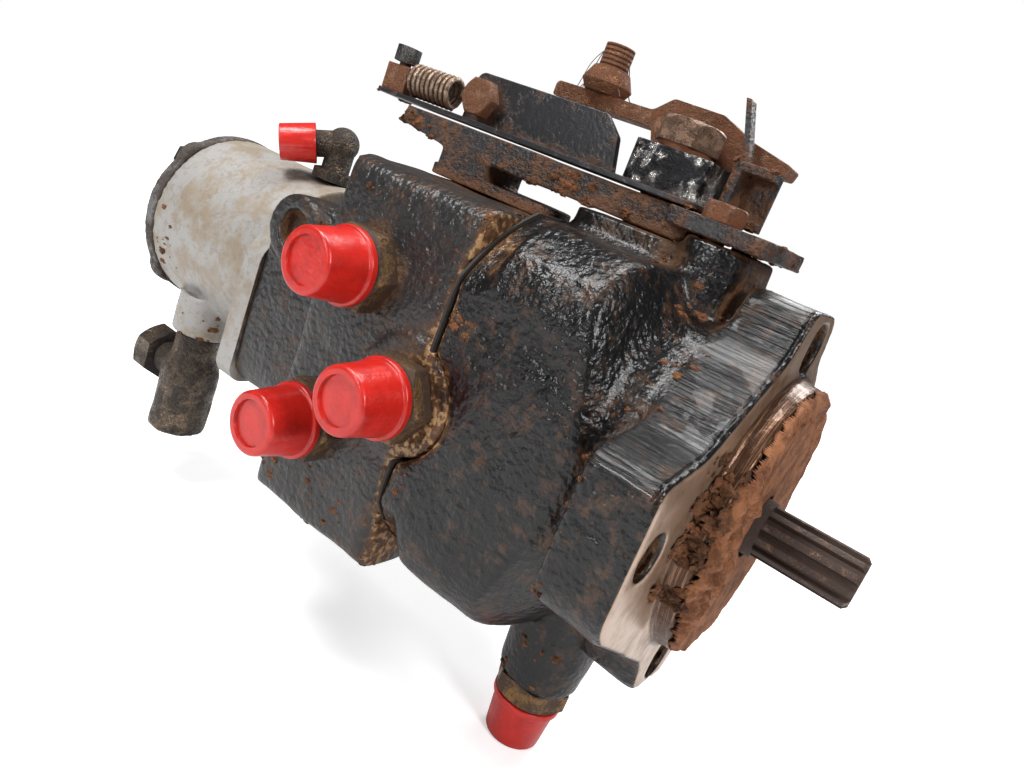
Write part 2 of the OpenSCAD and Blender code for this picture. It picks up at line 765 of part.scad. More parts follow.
module neutral_bracket() {
    color("#4a4038") difference() {
        union() {
            // bar over the block, with a thinner nose at the rear
            translate([0, bar_half, 0]) rotate([90, 0, 0]) linear_extrude(2 * bar_half) polygon([
                [-162, bracket_z], [-52, bracket_z], [-52, bracket_top], [-189, bracket_top],
                [-191, bracket_z + 4]]);
            // front plate on the pad
            translate([0, 0, pad_z]) linear_extrude(bracket_top - pad_z)
                polygon(rounded([[-58, -24, 4], [-20, -24, 6], [-20, 24, 6], [-58, 24, 4]]));
            // post and foot on the port block
            translate([-164, -bar_half, block_top]) cube([25, 2 * bar_half, bracket_z - block_top + 1]);
            translate([0, 0, block_top]) linear_extrude(5)
                polygon(rounded([[-167, 1 - bar_half, 0], [-106, 1 - bar_half, 9], [-106, bar_half - 1, 9],
                    [-167, bar_half - 1, 0]]));
        }
        rod_z(-tilt_x, 0, 0, 200, trunnion_d / 2 + 1);
        bracket_bolt_places() rod_z(0, 0, 0, 200, 4.5);
        rod_z(-41, 16, pad_z + 2, 200, 7);
    }
}

module bracket_bolts() {
    color("#8a6242") {
        bracket_bolt_places() rod_z(0, 0, pad_z - 12, pad_z + 3, 3.9);
        translate([-41, -16, pad_z + 2]) cylinder(h = bracket_top - pad_z - 2, r = 3.9);
        translate([-41, -16, bracket_top]) hex_head(13, 6);
        translate([-41, 16, pad_z + 2]) difference() {
            cylinder(h = bracket_top - pad_z - 2.5, r = 6.3);
            translate([0, 0, 2]) hexagon(6, 6);
        }
    }
}

module lever_plate() {
    color("#3c3c3e") difference() {
        union() {
            translate([0, 0, z_plate]) linear_extrude(lever_plate_t) polygon(rounded([
                [lever_rear, -11, 3], [-52, -15, 6], [-52, 15, 6], [lever_rear, 8, 4]]));
            // upright tab
            translate([0, tab_y + 3, z_plate]) rotate([90, 0, 0]) linear_extrude(3)
                polygon(rounded([[-172, 0, 0], [-94, 0, 0], [-98, 15, 3], [-106, 22, 3], [-170, 22, 4]]));
        }
        rod_z(-tilt_x, 0, 0, 200, trunnion_d / 2 + 0.02);
    }
}

module hub_block() {
    color("#9a9a9c") difference() {
        translate([0, 0, z_hub]) linear_extrude(hub_h) polygon(rounded([
            [-85, -11, 4], [-55, -11, 3], [-53, 24, 4], [-87, 24, 5]]));
        rod_z(-tilt_x, 0, 0, z_hub + 2, trunnion_d / 2 + 0.02);
        rod_z(-tilt_x, 0, 0, 200, trunnion_d / 2 - 2.98);
    }
}

module control_arm() {
    z = z_arm + 7;
    color("#6b4a34") difference() {
        translate([0, arm_back, 0]) rotate([90, 0, 0]) linear_extrude(arm_back - arm_front) polygon(rounded([
            [-tilt_x - arm_len - 20, z, 1], [-93, z, 2], [-90, z_arm, 1], [-57, z_arm, 2], [-54, z - 3, 1],
            [-38, z - 2, 1], [-37, z + 2, 1], [-54, z + arm_t, 2], [-67, z + arm_t + 5.5, 3],
            [-88, z + arm_t + 6, 3], [-95, z + arm_t, 4], [-tilt_x - arm_len - 20, z + arm_t, 2]]));
        rod_z(-tilt_x - arm_len, arm_y, 0, 200, stud_r - 0.98);
    }
}

module hub_washer() {
    color("#77706a") translate([-tilt_x, 0, z_arm]) difference() {
        cylinder(h = 2, r = 10.5);
        translate([0, 0, -1]) cylinder(h = 4, r = trunnion_d / 2 - 2.9);
    }
}

module hub_bolt() {
    color("#7a5a44") translate([-tilt_x, 0, z_arm + 2]) hex_head(22, 9);
}

module ball_stud() {
    color("#8a5a36") translate([-tilt_x - arm_len, arm_y, 0]) {
        rod_z(0, 0, z_arm + 5, stud_base + 1, stud_r - 1);
        translate([0, 0, z_arm + 7 + arm_t]) cylinder(h = 4, r1 = 8, r2 = 10.5);
        translate([0, 0, z_arm + 11 + arm_t]) cylinder(h = 6, r1 = 10.5, r2 = 7.5);
        rod_z(0, 0, z_arm + 16 + arm_t, z_arm + 26 + arm_t, stud_r);
    }
}

module spring_anchor() {
    color("#6b5444") difference() {
        translate([lever_rear + 1, spring_y - 4, z_hub]) cube([13, 9, 11]);
        translate([lever_rear, spring_y, z_spring]) rod_x(-1, 20, 2.6);
    }
}

module anchor_screw() {
    color("#5d5650") translate([lever_rear + 7, spring_y, 0]) {
        rod_z(0, 0, z_hub + 11, z_hub + 13, 2.5);
        translate([0, 0, z_hub + 12.5]) cylinder(h = 6.5, r = 5.3);
    }
}

module spring_bolt() {
    color("#8a4f2c") translate([-160, tab_y - 0.1, z_spring + 2]) rotate([90, 0, 0]) {
        cylinder(h = 5, r = 3);
        translate([0, 0, 4]) hex_head(14, 6);
    }
}

module lever_spring() {
    color("#6f665c") translate([0, spring_y, z_spring])
        along_x(lever_rear + 14.3) coil(spring_d, spring_wire, 26, 9);
}

module front_yoke() {
    color("#7a5f4a") translate([0, 1, z_plate + 0.5]) difference() {
        cube_from([-51.5, 0, 0], [-37, 12.4, z_arm - z_plate + 4]);
        cube_from([-48, -1, 3], [-30, 10, z_arm - z_plate + 1]);
    }
}

module cube_from(a, b) { translate(a) cube(b - a); }

module yoke_plate() {
    color("#6b5646") translate([-50, 9, z_arm + 4.5]) rotate([90, 0, 0]) linear_extrude(6)
        polygon([[0, 0], [2.2, 0], [-6, 20], [-8, 20]]);
}

case_housing();
case_gasket();
port_block();
case_bolts();
drain_fitting();
drain_cap();
port_fittings();
port_caps();
shaft_seal();
front_bearing_cup();
front_bearing_cone();
drive_shaft();
swashplate();
thrust_plate();
slipper_1();
slipper_2();
slipper_3();
slipper_4();
slipper_5();
piston_1();
piston_2();
piston_3();
piston_4();
piston_5();
retainer_plate();
ball_guide();
cylinder_block();
block_spring();
valve_plate();
rear_bearing();
trunnion_shaft();
trunnion_bushes();
pump_adapter();
adapter_bolts();
shaft_coupling();
gear_pump_flange();
gear_pump_body();
gear_pump_cover();
gear_pump_bolts();
drive_gear();
driven_gear();
bearing_blocks();
inlet_tee();
inlet_nut();
charge_elbow();
charge_cap();
neutral_bracket();
bracket_bolts();
lever_plate();
hub_block();
hub_bolt();
hub_washer();
control_arm();
ball_stud();
spring_anchor();
anchor_screw();
spring_bolt();
lever_spring();
front_yoke();
yoke_plate();
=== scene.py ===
# %% [markdown]
# # Dressing an axial piston pump
# The pump's solids come packed from the CAD step, one object for each part.
# This lesson keeps the parts that already look right and gives them a finish,
# and makes better pieces where the real pump is cast, dirty or made of soft plastic.

# %% Load the solids
import json
import math
import random

import bpy
from mathutils import Matrix, Vector, noise
from mathutils.bvhtree import BVHTree


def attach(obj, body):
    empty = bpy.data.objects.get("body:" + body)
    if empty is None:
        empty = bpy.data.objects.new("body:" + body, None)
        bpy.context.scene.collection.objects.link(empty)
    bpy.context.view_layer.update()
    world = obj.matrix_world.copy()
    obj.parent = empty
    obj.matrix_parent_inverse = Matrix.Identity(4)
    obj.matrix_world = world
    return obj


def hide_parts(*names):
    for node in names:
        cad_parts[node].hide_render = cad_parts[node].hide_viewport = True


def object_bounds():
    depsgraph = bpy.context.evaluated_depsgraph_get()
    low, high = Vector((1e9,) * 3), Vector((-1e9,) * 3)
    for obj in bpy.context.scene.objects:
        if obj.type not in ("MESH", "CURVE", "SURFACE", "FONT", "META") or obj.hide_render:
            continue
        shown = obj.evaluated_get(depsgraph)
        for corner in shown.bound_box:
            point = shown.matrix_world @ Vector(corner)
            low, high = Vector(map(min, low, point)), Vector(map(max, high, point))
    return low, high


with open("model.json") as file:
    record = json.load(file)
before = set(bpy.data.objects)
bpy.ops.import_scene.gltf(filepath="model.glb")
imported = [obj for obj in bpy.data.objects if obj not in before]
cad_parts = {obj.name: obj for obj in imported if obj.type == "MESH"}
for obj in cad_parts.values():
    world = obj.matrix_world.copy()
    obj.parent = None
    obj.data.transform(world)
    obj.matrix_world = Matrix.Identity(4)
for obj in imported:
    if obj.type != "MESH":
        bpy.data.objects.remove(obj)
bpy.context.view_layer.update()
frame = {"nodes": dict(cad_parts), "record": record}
nodes = frame["nodes"]
body_of_node = {n: b for b, ns in frame["record"]["behaviour"]["bodies"].items() for n in ns}
print("loaded", len(nodes), "parts")

# %% [markdown]
# ## The camera
# The photograph was taken from close by, from above the port side, with the camera turned a little.
# The values were found once by matching flat faces and round ports of known size with the
# picture, so they are written down as numbers.

# %% Points of the photograph, in pixels of its 1024 x 768 frame
POINTS = {
    "upper_cap": (330, 265),
    "drain_cap": (522, 712),
    "charge_cap": (298, 143),
    "shaft": (810, 556),
    "hub_bolt": (691, 136),
    "stud": (609, 70),
    "spring_bolt": (480, 98),
    "spring": (438, 88),
    "anchor_screw": (406, 56),
    "inlet_nut": (154, 346),
    "broken_crust": (690, 537),
}
EDGES = {"left": 133, "right": 872, "top": 40, "bottom": 745}

# %% Camera
W, H = 1024, 768
EYE = Vector((0.0484, -0.2638, 0.0816))
RIGHT = Vector((0.76260242, 0.53958682, 0.35676828))
FORWARD = Vector((-0.47414650, 0.84144904, -0.25913050))
LENS, SENSOR = 27.04, 36.0
TO_PUMP = 0.33  # metres from the eye to the near side of the pump

camera_data = bpy.data.cameras.new("camera")
camera_data.lens = LENS
camera_data.sensor_width = SENSOR
camera_data.sensor_fit = "AUTO"
camera_data.clip_start = 0.01
camera = bpy.data.objects.new("camera", camera_data)
bpy.context.scene.collection.objects.link(camera)
up = RIGHT.cross(FORWARD).normalized()
turn = Matrix((RIGHT, up, -FORWARD)).transposed()
camera.matrix_world = Matrix.Translation(EYE) @ turn.to_4x4()
bpy.context.scene.camera = camera
print("camera at", tuple(round(v, 3) for v in EYE))

# %% Where a point shows in the picture, and what lies behind a point of the picture
def seen_at(place):
    """The picture's point where a place shows."""
    p = camera.matrix_world.inverted() @ Vector(place)
    scale = W * LENS / SENSOR / -p.z
    return W / 2 + p.x * scale, H / 2 - p.y * scale


def behind(x, y, tree):
    """The first place of the tree on the ray through a picture's point, or the nearest to it."""
    ray = Vector((x - W / 2, H / 2 - y, -W * LENS / SENSOR))
    ray = (camera.matrix_world.to_3x3() @ ray).normalized()
    start = camera.matrix_world.translation
    hit = tree.ray_cast(start, ray)[0]
    if hit is None:
        hit = tree.find_nearest(start + ray * TO_PUMP)[0]
    return hit


# %% [markdown]
# ## Finishes
# A finish is a small network of nodes. `Wire` stands for one value in that network, so that
# `1 - dirt` or `rust * 0.5` can be written as plain sums, and `Finish.add` makes any other node.

# %% Node helpers
class Wire:
    def __init__(self, finish, socket):
        self.finish, self.socket = finish, socket

    def _math(self, operation, a, b=0.0):
        return self.finish.add("Math", {"operation": operation}, {0: a, 1: b})

    def __add__(self, other): return self._math("ADD", self, other)
    def __radd__(self, other): return self._math("ADD", other, self)
    def __sub__(self, other): return self._math("SUBTRACT", self, other)
    def __rsub__(self, other): return self._math("SUBTRACT", other, self)
    def __mul__(self, other): return self._math("MULTIPLY", self, other)
    def most(self, other): return self._math("MAXIMUM", self, other)


class Finish:
    def __init__(self, name):
        self.material = bpy.data.materials.new(name)
        self.material.use_nodes = True
        self.tree = self.material.node_tree
        self.shader = self.tree.nodes["Principled BSDF"]
        self.place = self.add("TexCoord", out="Object")

    def add(self, kind, settings=None, sockets=None, out=0):
        node = self.tree.nodes.new("ShaderNode" + kind)
        for key, value in (settings or {}).items():
            setattr(node, key, value)
        for key, value in (sockets or {}).items():
            if isinstance(value, Wire):
                self.tree.links.new(value.socket, node.inputs[key])
            else:
                node.inputs[key].default_value = value
        return Wire(self, node.outputs[out])

    def noise(self, size, detail=4.0, rough=0.55, stretch=(1, 1, 1)):
        place = self.place
        if stretch != (1, 1, 1):
            place = self.add("Mapping", sockets={"Vector": place, "Scale": stretch})
        return self.add("TexNoise", sockets={
            "Vector": place, "Scale": 1 / size, "Detail": detail, "Roughness": rough})

    def step(self, value, low, high):
        return self.add("MapRange", {"interpolation_type": "SMOOTHSTEP"}, {
            "Value": value, "From Min": low, "From Max": high})

    def mix(self, stains_and_shade, first, second):
        """A colour that goes from the first to the second as the mask goes from 0 to 1."""
        node = self.add("Mix", {"data_type": "RGBA"}, {0: stains_and_shade}, out=2)
        for index, value in ((6, first), (7, second)):
            if isinstance(value, Wire):
                self.tree.links.new(value.socket, node.socket.node.inputs[index])
            else:
                node.socket.node.inputs[index].default_value = (*value, 1)
        return node

    def axis(self, name):
        return self.add("SeparateXYZ", sockets={0: self.place}, out=name)

    def crevices(self, distance):
        """Near 1 in a hollow of about this size, 0 in the open."""
        return 1 - self.add("AmbientOcclusion", {"samples": 8}, {"Distance": distance}, out="AO")

    def facing(self, name):
        normal = self.add("NewGeometry", out="Normal")
        return self.add("SeparateXYZ", sockets={0: normal}, out=name)

    def bump(self, height, depth):
        return self.add("Bump", sockets={"Height": height, "Distance": depth, "Strength": 1.0})

    def finish(self, **sockets):
        for key, value in sockets.items():
            socket = self.shader.inputs[key.replace("_", " ")]
            if isinstance(value, Wire):
                self.tree.links.new(value.socket, socket)
            elif isinstance(value, tuple):
                socket.default_value = (*value, 1)
            else:
                socket.default_value = value
        return self.material


# %% [markdown]
# The castings are sprayed with black enamel that has gone dull in places; the port block's enamel
# is painted greyer as a painted sheen.
# Rust-brown earth sits in the hollows. The flange's face is machined bare, which the finish finds
# by its place.

# %% Black enamel on cast iron
ENAMEL, DULL_ENAMEL = (0.0015, 0.0016, 0.0020), (0.0045, 0.0043, 0.0045)
# painted sheen: the port block's enamel is painted this lighter grey
SHEEN_GREY_ENAMEL = (0.020, 0.019, 0.0185)
RUST_BROWN, EARTH = (0.085, 0.036, 0.014), (0.20, 0.10, 0.045)
DUST = (0.062, 0.030, 0.015)
# rust specks on the seam, painted bright gold as glints
RUST_GLINT_COLOUR = (0.42, 0.25, 0.12)
BARE_STEEL, STAINED_STEEL = (0.40, 0.27, 0.185), (0.20, 0.11, 0.062)
PILOT_RUST, PILOT_RUBBED = (0.065, 0.028, 0.013), (0.20, 0.105, 0.058)
# where the castings change their finish, in metres, from the first number to the second
BLOCK_SHEEN = (-0.090, -0.108)
SEAM_BACK, SEAM_AHEAD, PORT_SIDE = (-0.112, -0.099), (-0.070, -0.088), (-0.028, -0.052)
FLANGE_BACK, FLANGE_RIM, FLANGE_FACE = (-0.026, -0.021), (-0.003, -0.0015), (-0.0006, -0.0003)
PILOT = (0.0002, 0.0008)


def black_enamel():
    f = Finish("black_enamel")
    grain = f.noise(0.0024, 2, 0.45)
    orange_peel = f.noise(0.0075, 2, 0.5)
    clouds = f.noise(0.03, 5, 0.6)
    patches = f.noise(0.012, 6, 0.65)
    hollow = f.crevices(0.02)
    x, y = f.axis("X"), f.axis("Y")
    # the seam between the case and the port block holds the most earth, on the port side
    seam = f.step(x, *SEAM_BACK) * f.step(x, *SEAM_AHEAD) * f.step(y, *PORT_SIDE)
    dirt = f.step(hollow * 0.9 + patches * 0.75 + clouds * 0.35 + seam * 0.22, 0.83, 1.10)
    color = f.mix(f.step(clouds, 0.35, 0.7), ENAMEL, DULL_ENAMEL)
    # painted sheen: the port block is painted greyer than the case
    color = f.mix(f.step(x, *BLOCK_SHEEN), color, SHEEN_GREY_ENAMEL)
    brown = f.mix(f.step(patches + grain * 0.5, 0.55, 0.85), RUST_BROWN, EARTH)
    color = f.mix(dirt * 0.85, color, brown)
    dust = f.step(patches * 0.55 + f.noise(0.0045, 6, 0.75) * 0.6, 0.57, 0.70)
    color = f.mix(dust * 0.75, color, DUST)
    # rust specks along the seam: real rust, painted bright gold as glints
    rust_glint = seam * f.step(dirt, 0.2, 0.7)
    color = f.mix(rust_glint * f.step(grain, 0.5, 0.62), color, RUST_GLINT_COLOUR)
    rough = 0.28 + f.step(patches, 0.35, 0.75) * 0.12 + dirt * 0.28 - rust_glint * 0.12
    # machined and bare: the flange's face, and the pilot, which has rusted
    flat_ahead = f.step(f.facing("X"), 0.8, 0.95)
    face = f.step(x, *FLANGE_FACE) * (1 - f.step(hollow, 0.25, 0.5)) * flat_ahead
    steel = f.mix(f.step(patches, 0.42, 0.72), BARE_STEEL, STAINED_STEEL)
    color = f.mix(face, color, steel)
    pilot = f.step(x, *PILOT)
    turned = f.step(f.noise(0.0035, 3, 0.6, (9, 0.25, 0.25)), 0.52, 0.60)
    color = f.mix(pilot, color, f.mix(turned, PILOT_RUST, PILOT_RUBBED))
    # the flange's edge keeps the draft marks of the mould, which run along the shaft
    edge = f.step(x, *FLANGE_BACK) * (1 - f.step(x, *FLANGE_RIM))
    drawn = edge * f.step(f.facing("Z"), 0.05, 0.3)
    marks = f.step(f.noise(0.0018, 3, 0.6, (0.02, 1, 1)), 0.44, 0.56) * drawn
    bare = face.most(pilot * 0.8)
    sand = (grain * 1.1 + orange_peel * 1.0) * (1 - bare * 0.95) * (1 - drawn * 0.7)
    height = sand + patches * dirt * 1.5 - marks * 0.6
    return f.finish(Base_Color=color, Roughness=rough + drawn * 0.08,
                    Metallic=(bare * 0.7).most(rust_glint * 0.5), Normal=f.bump(height, 0.0008),
                    Coat_Weight=0.1, Specular_IOR_Level=0.34)


# %% Metals, plastic and rubber
def worn_metal(name, clean, stain, stained, size, rough, metallic=0.9, depth=0.0002,
               thread=None, reflection_patches=False):
    """A metal whose clean colour is more or less `stained`, with stains of a size in metres and
    painted shade in its small hollows.

    `thread` is where a screw thread starts on Z and its pitch."""
    f = Finish(name)
    spots = f.noise(size, 6, 0.65)
    fine = f.noise(size / 6, 4, 0.6)
    cover = stained * 0.3
    # stains, with painted shade added in the small hollows
    stains_and_shade = f.step(spots * 0.7 + fine * 0.3 + f.crevices(0.006) * 0.35, 0.62 - cover, 0.80 - cover)
    # dark patches on the bright steel: painted reflections of the dark room
    if reflection_patches:
        clean = f.mix(f.step(f.noise(size * 1.3, 5, 0.6), 0.40, 0.56), clean, (0.02, 0.02, 0.021))
    color = f.mix(stains_and_shade, clean, f.mix(fine, stain, tuple(c * 0.45 for c in stain)))
    height = fine + stains_and_shade * spots * 2
    if thread:
        start, pitch = thread
        turns = f.add("Math", {"operation": "SINE"}, {0: f.axis("Z") * (2 * math.pi / pitch)})
        height = height + turns * f.step(f.axis("Z"), start, start + 0.0004) * 1.6
    return f.finish(Base_Color=color, Roughness=rough + stains_and_shade * 0.4, Metallic=(1 - stains_and_shade) * metallic,
                    Normal=f.bump(height, depth))


def plain(name, color, rough):
    """Rubber, paper or straw with soft blotches, a quarter darker."""
    f = Finish(name)
    blotch = f.noise(0.004, 4, 0.6)
    second = f.mix(f.step(blotch, 0.35, 0.7), color, tuple(c * 0.75 for c in color))
    return f.finish(Base_Color=second, Roughness=rough, Normal=f.bump(blotch, 0.00005))


def red_plastic():
    """Soft, slightly grimy plastic with small scuffs, and painted shade in its small hollows."""
    f = Finish("red_plastic")
    blotch = f.noise(0.006, 4, 0.6)
    specks = f.noise(0.0016, 5, 0.7)
    # grime specks, and painted shade in the small hollows
    grime_and_shade = f.step(specks * 0.6 + blotch * 0.4 + f.crevices(0.004) * 0.25, 0.58, 0.70)
    color = f.mix(f.step(blotch, 0.35, 0.7), (0.50, 0.015, 0.009), (0.40, 0.011, 0.007))
    color = f.mix(grime_and_shade * 0.45, color, (0.20, 0.015, 0.01))
    return f.finish(Base_Color=color, Roughness=0.30 + grime_and_shade * 0.25, Normal=f.bump(blotch, 0.0004))


def dirty_aluminium():
    """Cream-grey die casting under an oily, dusty film, with painted shade where it meets its
    neighbours.
    """
    f = Finish("dirty_aluminium")
    clouds = f.noise(0.020, 6, 0.7)
    scratches = f.noise(0.0035, 5, 0.75)
    # oily stains, and painted shade near the neighbouring parts
    oil_and_shade = f.step(f.crevices(0.03) * 0.8 + f.noise(0.011, 6, 0.7) * 0.8, 0.62, 0.92)
    color = f.mix(f.step(clouds, 0.42, 0.62), (0.32, 0.31, 0.295), (0.27, 0.22, 0.16))
    color = f.mix(f.step(scratches, 0.50, 0.62) * 0.5, color, (0.22, 0.17, 0.125))
    color = f.mix(oil_and_shade * 0.9, color, (0.035, 0.026, 0.019))
    return f.finish(Base_Color=color, Roughness=0.5 - oil_and_shade * 0.15, Metallic=0.15,
                    Normal=f.bump(clouds + scratches * 0.5, 0.0006))


def dried_mud(name, dark, light):
    """Dull earth in lumps, with painted shade where it is cracked."""
    f = Finish(name)
    lumps = f.noise(0.008, 6, 0.65)
    fine = f.noise(0.0009, 4, 0.6)
    color = f.mix(f.step(lumps * 0.7 + fine * 0.3, 0.40, 0.60), dark, light)
    # painted shade in the hollows between the lumps, with fine dark flecks
    crack_shade = f.step(f.crevices(0.004) + fine * 0.35, 0.42, 0.75)
    color = f.mix(crack_shade, color, tuple(c * 0.22 for c in dark))
    return f.finish(Base_Color=color, Roughness=0.92 - fine * 0.15,
                    Normal=f.bump(lumps * 0.8 + fine, 0.0006), Specular_IOR_Level=0.25)


# %% One finish for each slot of the record, and a few for single pieces
METALS = {  # slot: name, clean colour, stain, stained, size, rough, metallic, depth
    "fitting_steel": ("tarnished_fitting", (0.24, 0.135, 0.05), (0.055, 0.026, 0.012),
                      0.75, 0.005, 0.28),
    "dark_bolt": ("dark_bolt", (0.07, 0.068, 0.066), (0.10, 0.05, 0.025), 0.35, 0.003, 0.38),
    "bearing_steel": ("bearing_steel", (0.6, 0.6, 0.62), (0.3, 0.25, 0.2), 0.05, 0.01, 0.15),
    "shaft_steel": ("shaft_steel", (0.13, 0.08, 0.055), (0.045, 0.02, 0.011), 0.9, 0.004, 0.26),
    "bronze": ("bronze", (0.55, 0.36, 0.15), (0.2, 0.12, 0.06), 0.1, 0.008, 0.25),
    "iron": ("machined_iron", (0.35, 0.35, 0.36), (0.12, 0.09, 0.07), 0.15, 0.01, 0.3),
    "gear_cover_iron": ("dirty_cast_cover", (0.17, 0.165, 0.16), (0.07, 0.052, 0.04),
                        0.8, 0.012, 0.4, 0.5, 0.0008),
    "dirty_fitting": ("greasy_fitting", (0.16, 0.115, 0.075), (0.035, 0.022, 0.014),
                      0.75, 0.009, 0.22, 0.5, 0.0012),
    "bracket_steel": ("rusty_bracket", (0.030, 0.029, 0.030), (0.17, 0.070, 0.028),
                      0.62, 0.009, 0.26, 0.3, 0.0006),
    "rusty_steel": ("rusty_steel", (0.24, 0.125, 0.07), (0.20, 0.066, 0.022),
                    0.8, 0.004, 0.42, 0.6, 0.0005),
    "spring_steel": ("spring_wire", (0.30, 0.22, 0.16), (0.13, 0.06, 0.03), 0.5, 0.003, 0.4),
    "lever_steel": ("lever_steel", (0.035, 0.034, 0.036), (0.11, 0.05, 0.025),
                    0.3, 0.012, 0.28, 0.4, 0.0002),
    "worn_bolt": ("worn_bolt", (0.19, 0.115, 0.075), (0.10, 0.042, 0.02),
                  0.55, 0.004, 0.36, 0.7, 0.0005),
}
THREAD = (0.1285, 0.00175)  # where the stud's thread starts, and its pitch

finishes = {slot: worn_metal(*values) for slot, values in METALS.items()}
finishes.update({
    "painted_iron": black_enamel(),
    "gasket": plain("gasket_paper", (0.022, 0.018, 0.015), 0.8),
    "seal_rubber": plain("seal_rubber", (0.02, 0.019, 0.018), 0.6),
    "dry_grass": plain("dry_grass", (0.09, 0.065, 0.04), 0.8),
    "cap_red": red_plastic(),
    "aluminium_cast": dirty_aluminium(),
    "dried_mud": dried_mud("dried_mud", (0.115, 0.042, 0.018), (0.27, 0.110, 0.048)),
    "damp_earth": dried_mud("damp_earth", (0.055, 0.024, 0.011), (0.17, 0.068, 0.028)),
    # the hub's dark patches are painted reflections
    "hub_steel": worn_metal("bright_hub", (0.62, 0.60, 0.57), (0.04, 0.03, 0.025),
                            0.25, 0.006, 0.10, 1.0, 0.0004, reflection_patches=True),
    "threaded_stud": worn_metal("threaded_stud", (0.20, 0.085, 0.036), (0.17, 0.055, 0.018),
                                0.8, 0.004, 0.5, 0.7, 0.0004, thread=THREAD),
})

slot_of = {s["node"]: s["material_slot"] for s in frame["record"]["subparts"]}


def give(piece, finish):
    piece.data.materials.clear()
    piece.data.materials.append(finish)


for name, node in nodes.items():
    give(node, finishes[slot_of[name]])
OWN_FINISH = {"ball_stud": "threaded_stud", "lever_plate": "lever_steel", "hub_bolt": "worn_bolt"}
for name, finish in OWN_FINISH.items():
    give(nodes[name], finishes[finish])
print("finishes given to", len(nodes), "parts")

# %% [markdown]
# ## The castings
# Sand castings have no sharp edges and no quite flat faces. A copy of each casting's solid is built
# again from small cubes, smoothed and pushed in and out a little by noise. Only the case's flange
# face, which a machine cut flat, is kept out of the noise.

# %% Castings
ROUGH_CAST, FINE_CAST = 45, 150  # how close the sand's waves are


def select_only(piece):
    bpy.ops.object.select_all(action="DESELECT")
    bpy.context.view_layer.objects.active = piece
    piece.select_set(True)


def apply(piece, kind, **settings):
    modifier = piece.modifiers.new(kind.title(), kind)
    for key, value in settings.items():
        setattr(modifier, key, value)
    select_only(piece)
    bpy.ops.object.modifier_apply(modifier=modifier.name)


def copy_of(name):
    """A copy of a solid with its loose triangles joined, so that it can be reshaped."""
    piece = bpy.data.objects.new(name + "_cast", nodes[name].data.copy())
    bpy.context.scene.collection.objects.link(piece)
    select_only(piece)
    bpy.ops.object.mode_set(mode="EDIT")
    bpy.ops.mesh.select_all(action="SELECT")
    bpy.ops.mesh.remove_doubles(threshold=1e-6)
    bpy.ops.object.mode_set(mode="OBJECT")
    return piece


def dress(piece, name):
    """The piece takes a node's place, body and finish."""
    slot = slot_of[name]
    give(piece, finishes[slot])
    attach(piece, body_of_node[name])
    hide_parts(name)


def cast(name, grid, rounds, wave, reach=None):
    """A casting for a node: cubes of size `grid` smoothed in rounds, with waves of height `wave`.

    `reach` says for a place how far the waves reach it, from 0 to 1."""
    piece = copy_of(name)
    apply(piece, "REMESH", mode="VOXEL", voxel_size=grid)
    apply(piece, "SMOOTH", factor=0.5, iterations=rounds)
    normals = [v.normal.copy() for v in piece.data.vertices]
    for v, normal in zip(piece.data.vertices, normals):
        coarse, fine = noise.noise(v.co * ROUGH_CAST), noise.noise(v.co * FINE_CAST)
        push = coarse * wave + fine * wave * 0.2 - wave * 0.3
        if reach:
            push *= reach(v.co)
        v.co += normal * push
    bpy.ops.object.shade_smooth()
    dress(piece, name)
    print(name, "cast with", len(piece.data.polygons), "faces")
    return piece


def behind_flange_face(place):
    """0 on the flange's machined face and ahead of it, 1 from a few millimetres behind it."""
    return min(max((-0.0012 - place.x) / 0.003, 0), 1)


castings = {
    "case_housing": cast("case_housing", 0.0015, 9, 0.0010, behind_flange_face),
    "port_block": cast("port_block", 0.0014, 8, 0.0009),
    "pump_adapter": cast("pump_adapter", 0.0012, 6, 0.0005),
    "gear_pump_body": cast("gear_pump_body", 0.0012, 5, 0.0004),
    "gear_pump_cover": cast("gear_pump_cover", 0.0011, 5, 0.0005),
    "inlet_tee": cast("inlet_tee", 0.0010, 6, 0.0008),
    "neutral_bracket": cast("neutral_bracket", 0.0008, 3, 0.0003),
}

# %% [markdown]
# ## Rounded edges
# Bolt heads, plates and fittings keep their solids. Each gets a narrow bevel, which catches
# the light as a worn edge does.

# %% Rounded edges
ROUNDED = {  # width of the bevel in metres: the nodes that get it
    0.00035: ("hub_block", "hub_bolt", "control_arm", "ball_stud", "lever_plate", "spring_anchor",
              "spring_bolt", "bracket_bolts", "front_yoke", "inlet_nut", "charge_elbow",
              "gear_pump_flange"),
    0.0002: ("hub_washer", "anchor_screw", "yoke_plate", "port_fittings", "drain_fitting",
             "gear_pump_bolts", "adapter_bolts", "case_bolts", "drive_shaft", "port_caps",
             "drain_cap", "charge_cap"),
}
for width, names in ROUNDED.items():
    for name in names:
        weld = nodes[name].modifiers.new("Weld", "WELD")
        weld.merge_threshold = 1e-5
        flat = nodes[name].modifiers.new("Flat", "DECIMATE")
        flat.decimate_type = "DISSOLVE"
        flat.angle_limit = math.radians(1.5)
        bevel = nodes[name].modifiers.new("Edge", "BEVEL")
        bevel.limit_method = "ANGLE"
        bevel.angle_limit = math.radians(32)
        bevel.width = width
        bevel.segments = 2

# %% [markdown]
# ## Dried mud
# Mud has dried on the pilot's face in a crust that is thick in places and broken in others. It is a
# fine grid laid on the face, whose points rise by noise and sink into the metal where none is left.

# %% Mud on the pilot
FACE = 0.0076  # the pilot's face on X
PILOT_R = 0.0508
STEP_R = 0.040  # the low turned step
LIP_R = 0.0475
CLEAN_R = 0.0115  # bare round the shaft
GRID_LINES = 210
SUNK = -0.0009  # mud lower than this is cut away


